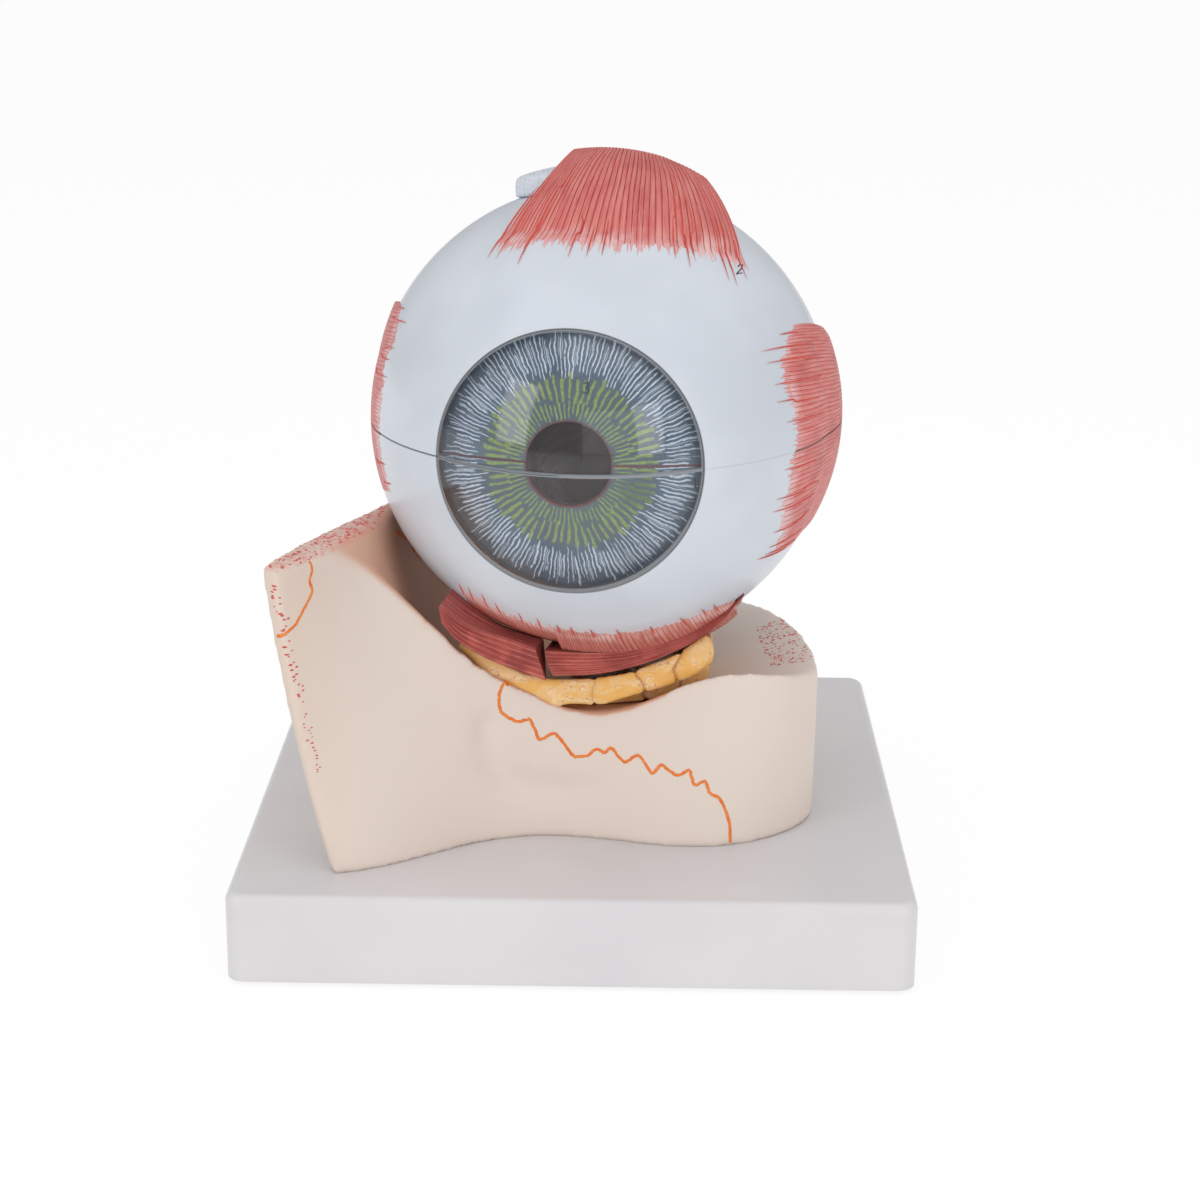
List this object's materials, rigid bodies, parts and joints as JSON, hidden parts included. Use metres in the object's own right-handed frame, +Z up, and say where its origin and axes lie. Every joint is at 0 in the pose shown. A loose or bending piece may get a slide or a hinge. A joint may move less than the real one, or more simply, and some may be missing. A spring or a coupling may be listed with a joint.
{
  "type": "eye anatomy model",
  "caption": "Enlarged eyeball that takes apart along its horizontal midline, resting in a bony half-orbit on a square base.",
  "frame": {"origin": "middle of the base's footprint, on the surface it stands on", "axes": "+Z up, +Y towards the back of the orbit, +X towards the temple side (the viewer's right)"},
  "size_m": [0.18, 0.18, 0.2096],
  "materials": {
    "base_plastic": "smooth gloss",
    "foot_rubber": "matte",
    "fixing_steel": "plated",
    "bone": "satin",
    "fat": "satin",
    "muscle": "satin",
    "sclera": "semi-gloss",
    "tendon": "satin",
    "nerve": "satin",
    "choroid": "semi-gloss",
    "iris": "semi-gloss",
    "ciliary": "semi-gloss",
    "clear_cornea": "clear gloss",
    "clear_lens": "clear gloss",
    "clear_vitreous": "clear gloss"
  },
  "bodies": {
    "root": {"base_tray": "base_plastic", "rubber_feet": "foot_rubber", "orbit_screws": "fixing_steel", "orbital_bone": "bone", "globe_peg": "fixing_steel", "inferior_oblique": "muscle", "orbital_fat_pad": "fat"},
    "lower_shell": {"lower_sclera": "sclera", "sclera_pins": "fixing_steel", "lower_cornea": "clear_cornea", "inferior_rectus": "muscle", "inferior_oblique_end": "muscle", "lateral_rectus_lower": "muscle", "medial_rectus_lower": "muscle", "optic_nerve_lower": "nerve"},
    "lower_coat": {"lower_choroid": "choroid", "lower_iris": "iris", "lower_ciliary_body": "ciliary"},
    "vitreous": {"vitreous_body": "clear_vitreous"},
    "lens": {"lens": "clear_lens"},
    "upper_coat": {"upper_choroid": "choroid", "upper_iris": "iris", "upper_ciliary_body": "ciliary"},
    "upper_shell": {"upper_sclera": "sclera", "upper_cornea": "clear_cornea", "superior_rectus": "muscle", "superior_oblique": "tendon", "lateral_rectus_upper": "muscle", "medial_rectus_upper": "muscle", "optic_nerve_upper": "nerve"}
  },
  "joints": [
    {"name": "eyeball_lift", "type": "slide", "parent": "root", "child": "lower_shell", "axis": [0, 0, 1], "range_m": [0, 0.08]},
    {"name": "lower_choroid_lift", "type": "slide", "parent": "lower_shell", "child": "lower_coat", "axis": [0, 0, 1], "range_m": [0, 0.07]},
    {"name": "vitreous_lift", "type": "slide", "parent": "lower_coat", "child": "vitreous", "axis": [0, 0, 1], "range_m": [0, 0.07]},
    {"name": "upper_choroid_lift", "type": "slide", "parent": "vitreous", "child": "upper_coat", "axis": [0, 0, 1], "range_m": [0, 0.07]},
    {"name": "upper_sclera_lift", "type": "slide", "parent": "upper_coat", "child": "upper_shell", "axis": [0, 0, 1], "range_m": [0, 0.07]},
    {"name": "lens_slide", "type": "slide", "parent": "vitreous", "child": "lens", "axis": [-0.0494, -0.3384, 0.9397], "range_m": [0, 0.0385]}
  ],
  "couplings": [
    {"joint": "lens_slide", "follows": "upper_choroid_lift", "ratio": 0.55}
  ]
}
